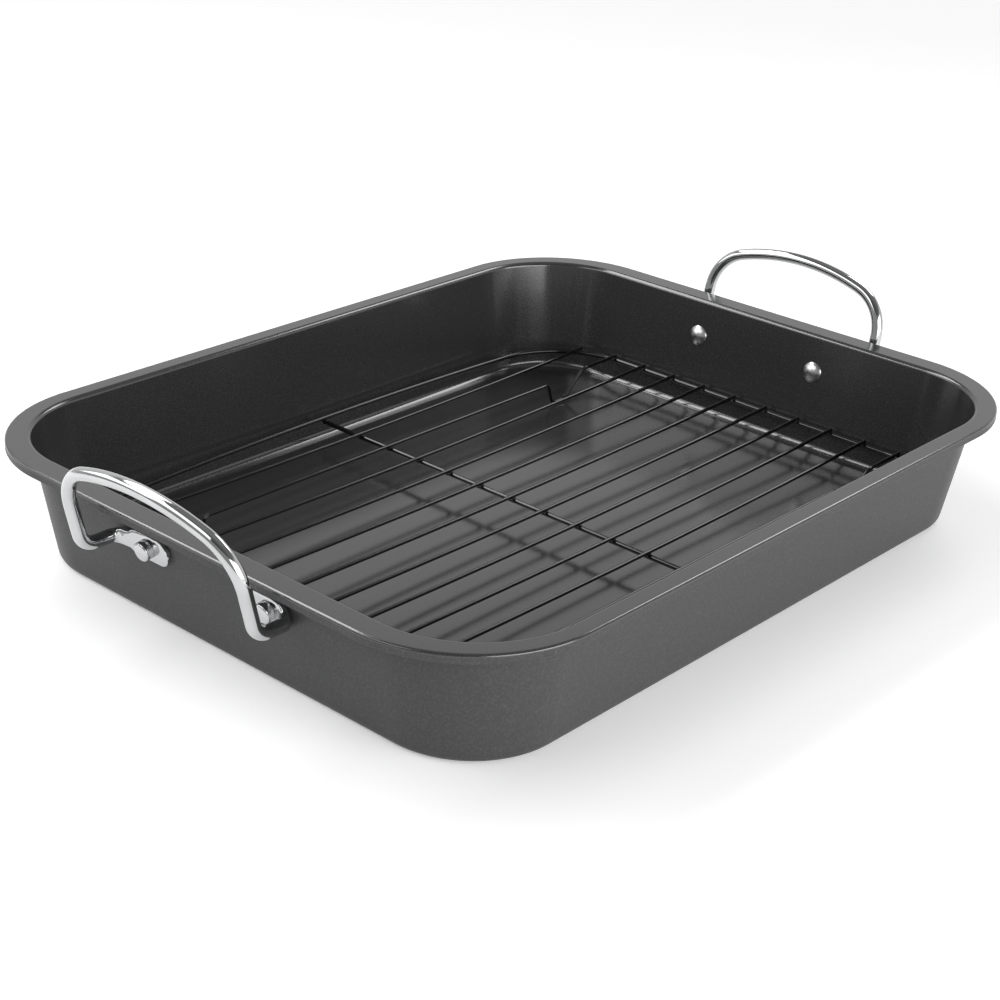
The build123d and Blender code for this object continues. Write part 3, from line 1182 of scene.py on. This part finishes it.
@dataclass
class Rivet:
    """Rivet with a domed head inside the pan and an upset stub on the paddle."""

    end: End
    side: int
    head_radius: float = 5.75
    head_height: float = 2.2
    head_edge: float = 0.15
    stub_radius: float = 4.65
    stub_height: float = 4.5
    stub_edge: float = 1.3
    stub_crown: float = 0.4
    paddle: float = 2.6
    # Steps in from a radius and out from a height, round the edges of head and stub
    head_turn: tuple[tuple[float, float], ...] = ((0.02, 0.03), (0.0, 0.07))
    head_back: tuple[tuple[float, float], ...] = ((0.0, -0.02), (0.05, 0.02))
    shank_run: tuple[tuple[float, float], ...] = ((1.6, 0.3), (1.6, -0.4))
    stub_turn: tuple[tuple[float, float], ...] = ((0.1, 0.0), (0.0, 0.15))
    pole: float = 0.02
    dome_share: float = 0.97
    dome_steps: int = 14
    edge_steps: int = 9
    crown_steps: int = 7
    dent: float = 0.16
    dent_scale: float = 1.7
    dent_place: float = 3.0
    dent_drift: float = 0.2
    dent_mean: float = 0.06
    points_round: int = 56
    body: Body = Body.PAN

    def node_name(self) -> str:
        """Name of the CAD node that this rivet stands for."""
        back = self.side > 0 if self.end is End.RIGHT else self.side < 0
        return f"rivet_{self.end.label}_{'back' if back else 'front'}"

    def profile(self, pan: PanBody) -> list[tuple[float, float]]:
        """Radius and distance out from the wall, from the head's top to the stub's end.

        Args:
            pan: The pan that the rivet goes through.

        Returns:
            The profile's points.
        """
        seat = -pan.sheet * math.cos(math.atan(pan.slopes[0]))
        dome = self.head_height - self.head_edge
        ball = (self.head_radius**2 + dome**2) / (2 * dome)
        top = seat - self.head_height
        points = []
        limit = math.asin(self.head_radius / ball)
        for angle in even(self.dome_steps, self.pole, limit * self.dome_share):
            points.append((ball * math.sin(angle), top + ball * (1 - math.cos(angle))))
        for radius, height, steps in (
            (self.head_radius, seat - self.head_edge, self.head_turn),
            (self.head_radius, seat, self.head_back),
            (self.stub_radius, seat, self.shank_run[:1]),
            (self.stub_radius, self.paddle, self.shank_run[1:]),
            (self.stub_radius, self.paddle, self.stub_turn),
        ):
            points += [(radius - inwards, height + out) for inwards, out in steps]
        end = self.paddle + self.stub_height
        crown = self.stub_radius - self.stub_edge
        for angle in even(self.edge_steps, 0.0, math.pi / 2):
            points.append(
                (
                    crown + self.stub_edge * math.cos(angle),
                    end - self.stub_crown - self.stub_edge * (1 - math.sin(angle)),
                )
            )
        for share in even(self.crown_steps, 1.0, self.pole)[1:]:
            points.append((crown * share, end - self.stub_crown * share**2))
        return points

    def build(self, pan: PanBody, metal: bpy.types.Material) -> bpy.types.Object:
        """Builds the rivet's mesh.

        Args:
            pan: The pan that the rivet goes through.
            metal: The rivet's finish.

        Returns:
            The rivet's object.
        """
        lean = math.atan(pan.slopes[0])
        out = Vector((math.cos(lean), 0, -math.sin(lean)))
        across = Vector((0, 1, 0))
        third = out.cross(across)
        handle = WireHandle(self.end)
        seat = Vector(
            (
                pan.end_x(handle.rivet_height),
                self.side * handle.rivet_half,
                handle.rivet_height,
            )
        )
        rings: list[Ring] = []
        for radius, distance in self.profile(pan):
            ring = []
            shift = Vector((self.side, self.dent_place, distance * self.dent_drift))
            for index in range(self.points_round):
                angle = 2 * math.pi * index / self.points_round
                spoke = across * math.cos(angle) + third * math.sin(angle)
                # The upset stub is a little uneven, as hammered metal is
                swell = 0.0
                if distance > self.paddle:
                    swell = self.dent * noise.noise(spoke * self.dent_scale + shift)
                reach = radius + min(0.0, swell - self.dent_mean)
                ring.append((seat + spoke * reach + out * distance) * MM)
            rings.append(ring)
        mesh = RingMesh()
        mesh.skin(rings)
        mesh.close_ends(rings)
        made = mesh.make(f"stub_{self.node_name()}", [metal], self.end.turn)
        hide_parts(self.node_name())
        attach(made, self.body.value)
        return made


# The rack


@dataclass
class Rack:
    """Welded wire rack: the wires are the CAD's own, with weld beads added."""

    place: tuple[float, float] = (2.0, -3.0)
    half_length: float = 183.5
    half_width: float = 142.3
    side_bow: float = 7.2
    corner: float = 47.0
    frame_height: float = 14.25
    frame_wire: float = 2.5
    count: int = 12
    first_y: float = -120.1
    pitch: float = 21.3
    bead_size: tuple[float, float, float] = (1.5, 1.15, 0.55)
    bead_points: int = 14
    bead_rings: int = 7
    bead_level: float = 0.92
    bead_dent: float = 0.16
    bead_dent_scale: float = 2.3
    bead_dent_shift: float = 1.7
    body: Body = Body.RACK

    def node_names(self) -> list[str]:
        """Names of the CAD nodes that make the rack."""
        return list(frame["record"]["behaviour"]["bodies"][self.body.value])

    def dress(self, coating: bpy.types.Material) -> int:
        """Gives the rack's CAD wires their finish.

        Args:
            coating: The wires' finish.

        Returns:
            The number of wires dressed.
        """
        names = self.node_names()
        for name in names:
            wire = frame["nodes"][name]
            wire.data.materials.clear()
            wire.data.materials.append(coating)
            wire.data.polygons.foreach_set("use_smooth", [True] * len(wire.data.polygons))
        return len(names)

    def frame_reach(self, y: float) -> float:
        """Distance along X from the rack's middle to the frame wire.

        Args:
            y: Place across the rack, from its middle.

        Returns:
            The distance.
        """
        big = (self.half_length**2 + self.side_bow**2) / (2 * self.side_bow)
        corner_x = self.half_length - self.corner
        centre_y = self.half_width - big + math.sqrt((big - self.corner) ** 2 - corner_x**2)
        past = abs(y) - centre_y
        if past <= 0:
            return self.half_length
        return corner_x + math.sqrt(self.corner**2 - past**2)

    def weld_places(self) -> list[tuple[Vector, float]]:
        """Where wires touch and are welded.

        Returns:
            Each weld's middle in millimetres and its turn about Z.
        """
        frame_top = self.frame_height + self.frame_wire / 2
        bar_top = self.frame_height - self.frame_wire / 2
        found = []
        for index in range(self.count):
            y = self.first_y + index * self.pitch
            found.append((Vector((0, y, bar_top)), 0.0))
            reach = self.frame_reach(y)
            for sign in (-1, 1):
                found.append((Vector((sign * reach, y, frame_top)), 0.0))
        for sign in (-1, 1):
            found.append((Vector((0, sign * self.half_width, bar_top)), math.pi / 2))
        shift = Vector((*self.place, 0))
        return [(point + shift, turn) for point, turn in found]

    def build_beads(self, coating: bpy.types.Material) -> bpy.types.Object:
        """Builds the weld beads as one mesh.

        Args:
            coating: The wires' finish.

        Returns:
            The beads' object.
        """
        mesh = RingMesh()
        around = self.bead_points
        for number, (middle, turn) in enumerate(self.weld_places()):
            turned = Matrix.Rotation(turn, 3, "Z")
            shift = Vector((number * self.bead_dent_shift, 0, 0))
            first = len(mesh.points)
            rings = []
            for level in even(self.bead_rings, -self.bead_level, self.bead_level):
                spread = math.sqrt(1 - level**2)
                ring = []
                for index in range(around):
                    angle = 2 * math.pi * index / around
                    unit = Vector((spread * math.cos(angle), spread * math.sin(angle), level))
                    rough = 1 + self.bead_dent * noise.noise(unit * self.bead_dent_scale + shift)
                    scaled = Vector(
                        tuple(part * size for part, size in zip(unit, self.bead_size))
                    )
                    ring.append((middle + turned @ (scaled * rough)) * MM)
                rings.append(ring)
            mesh.skin(rings)
            last = first + (len(rings) - 1) * around
            reach = Vector((0, 0, self.bead_size[2] * MM))
            mesh.cap(first, around, middle * MM - reach, True)
            mesh.cap(last, around, middle * MM + reach, False)
        made = mesh.make("rack_weld_beads", [coating])
        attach(made, self.body.value)
        return made


# The studio


@dataclass(frozen=True)
class Lamp:
    """One soft studio lamp."""

    name: str
    place: tuple[float, float, float]
    target: tuple[float, float, float]
    size: tuple[float, float]
    power: float

    def build(self) -> bpy.types.Object:
        """Builds the lamp.

        Returns:
            The lamp's object.
        """
        data = bpy.data.lights.new(self.name, "AREA")
        data.shape = "RECTANGLE"
        data.size, data.size_y = self.size
        data.energy = self.power
        made = bpy.data.objects.new(self.name, data)
        made.location = self.place
        aim = Vector(self.target) - Vector(self.place)
        made.rotation_euler = aim.to_track_quat("-Z", "Y").to_euler()
        bpy.context.scene.collection.objects.link(made)
        return made


@dataclass
class Studio:
    """Pale floor, white surroundings, soft lamps and the camera."""

    camera_place: tuple[float, float, float] = (-0.67386, -0.57702, 0.42562)
    camera_right: tuple[float, float, float] = (0.67088, -0.74053, 0.03919)
    camera_ahead: tuple[float, float, float] = (0.68313, 0.59659, -0.42121)
    lens: float = 71.69
    sensor: float = 36.0
    clip: tuple[float, float] = (0.01, 100.0)
    floor_half: float = 6.0
    floor_drop: float = 0.0002
    ambient: float = 0.24
    sky: tuple[tuple[float, float], ...] = ((0.49, 0.82), (0.59, 0.22), (0.8, 0.22), (1.0, 0.3))
    sky_side: tuple[float, float] = (0.45, 1.0)
    sky_side_span: tuple[float, float] = (-0.6, 0.2)
    floor_tone: float = 0.9
    floor_roughness: float = 0.8
    floor_lift: float = 0.3
    floor_fade: tuple[float, float] = (1.0, 2.6)
    lamps: tuple[Lamp, ...] = (
        Lamp("back_soft_box", (-0.22, 0.85, 1.0), (-0.15, 0.0, 0.0), (1.35, 0.4), 10.0),
        Lamp("low_back_soft_box", (-0.7, 1.0, 0.55), (-0.15, 0.0, 0.05), (0.9, 0.35), 2.2),
        Lamp("left_soft_box", (-1.0, 0.35, 0.95), (0.0, 0.0, 0.0), (0.9, 0.6), 3.5),
        Lamp("right_soft_box", (0.95, -0.05, 0.9), (0.0, -0.1, 0.0), (0.6, 0.4), 4.0),
        Lamp("front_soft_box", (-0.15, -1.6, 0.56), (0.0, 0.0, 0.03), (1.8, 0.9), 21.0),
    )

    def build_camera(self) -> bpy.types.Object:
        """Builds the camera at the photograph's viewing angle.

        Returns:
            The camera's object.
        """
        data = bpy.data.cameras.new("camera")
        data.lens = self.lens
        data.sensor_width = self.sensor
        data.clip_start, data.clip_end = self.clip
        made = bpy.data.objects.new("camera", data)
        bpy.context.scene.collection.objects.link(made)
        ahead = Vector(self.camera_ahead).normalized()
        right = Vector(self.camera_right)
        right = (right - ahead * right.dot(ahead)).normalized()
        up = right.cross(ahead)
        turn = Matrix((right, up, -ahead)).transposed().to_4x4()
        made.matrix_world = Matrix.Translation(self.camera_place) @ turn
        bpy.context.scene.camera = made
        return made

    def build_world(self) -> None:
        """Makes white surroundings below a dim studio, with plain soft light from all round."""
        world = bpy.data.worlds.new("studio_surroundings")
        world.use_nodes = True
        bpy.context.scene.world = world
        graph = NodeGraph(world.node_tree)
        nodes = world.node_tree.nodes
        path = graph.node("ShaderNodeLightPath")
        plain = nodes["Background"]
        plain.inputs["Color"].default_value = (1.0, 1.0, 1.0, 1.0)
        plain.inputs["Strength"].default_value = self.ambient
        place = graph.node("ShaderNodeTexCoord")
        parts = graph.node("ShaderNodeSeparateXYZ")
        graph.link(place.outputs["Generated"], parts.inputs["Vector"])
        stops = [(height, (tone, tone, tone)) for height, tone in self.sky]
        mirrored = graph.node("ShaderNodeBackground")
        graph.link(graph.ramp(parts.outputs["Z"], stops), mirrored.inputs["Color"])
        side = graph.span(parts.outputs["X"], *self.sky_side, *self.sky_side_span)
        graph.link(side, mirrored.inputs["Strength"])
        white = graph.node("ShaderNodeBackground", Strength=1.0)
        white.inputs["Color"].default_value = (1.0, 1.0, 1.0, 1.0)
        glossy = graph.node("ShaderNodeMixShader")
        graph.link(path.outputs["Is Glossy Ray"], glossy.inputs["Fac"])
        graph.link(plain.outputs["Background"], glossy.inputs[1])
        graph.link(mirrored.outputs["Background"], glossy.inputs[2])
        choose = graph.node("ShaderNodeMixShader")
        seen = graph.sums("MAXIMUM", path.outputs["Is Camera Ray"], path.outputs["Is Transmission Ray"])
        graph.link(seen, choose.inputs["Fac"])
        graph.link(glossy.outputs["Shader"], choose.inputs[1])
        graph.link(white.outputs["Background"], choose.inputs[2])
        graph.link(choose.outputs["Shader"], nodes["World Output"].inputs["Surface"])

    def build_floor(self) -> bpy.types.Object:
        """Builds the pale floor, which is lifted to plain white away from the pan.

        Returns:
            The floor's object.
        """
        made_material, graph, shader = open_material("studio_floor")
        shader.inputs["Base Color"].default_value = (self.floor_tone,) * 3 + (1.0,)
        shader.inputs["Roughness"].default_value = self.floor_roughness
        path = graph.node("ShaderNodeLightPath")
        seen = graph.sums("MAXIMUM", path.outputs["Is Camera Ray"], path.outputs["Is Glossy Ray"])
        seen = graph.sums("MAXIMUM", seen, path.outputs["Is Transmission Ray"])
        place = graph.node("ShaderNodeNewGeometry")
        reach = graph.node("ShaderNodeVectorMath")
        reach.operation = "LENGTH"
        graph.link(place.outputs["Position"], reach.inputs[0])
        far = graph.span(reach.outputs["Value"], self.floor_lift, 1.0, *self.floor_fade)
        lift = graph.sums("MULTIPLY", seen, far)
        shader.inputs["Emission Color"].default_value = (1.0, 1.0, 1.0, 1.0)
        graph.link(lift, shader.inputs["Emission Strength"])
        half = self.floor_half
        corners = [(-half, -half), (half, -half), (half, half), (-half, half)]
        mesh = bpy.data.meshes.new("studio_floor")
        mesh.from_pydata([(x, y, -self.floor_drop) for x, y in corners], [], [(0, 1, 2, 3)])
        mesh.materials.append(made_material)
        made = bpy.data.objects.new("studio_floor", mesh)
        bpy.context.scene.collection.objects.link(made)
        return made

    def build(self) -> None:
        """Builds the whole studio."""
        self.build_camera()
        self.build_world()
        self.build_floor()
        for lamp in self.lamps:
            lamp.build()
        bpy.context.scene.view_settings.view_transform = "Standard"


def tell(made: bpy.types.Object) -> None:
    """Reports one piece in the log."""
    LOG.info("%s: %d faces", made.name, len(made.data.polygons))


def main() -> None:
    """Builds the pan, handles, rivets, rack and studio in order."""
    logging.basicConfig(level=logging.INFO, format="%(name)s: %(message)s")
    inside = INSIDE_COATING.build()
    outside = OUTSIDE_COATING.build()
    plate = HANDLE_PLATE.build()
    rivet_metal = RIVET_METAL.build()
    coating = RACK_COATING.build()

    pan = PanBody()
    tell(pan.build(inside, outside))
    for end in End:
        tell(WireHandle(end).build(pan, plate))
        for side in (-1, 1):
            tell(Rivet(end, side).build(pan, rivet_metal))
    rack = Rack()
    LOG.info("rack: %d wires dressed", rack.dress(coating))
    tell(rack.build_beads(coating))
    Studio().build()


if __name__ == "__main__":
    main()
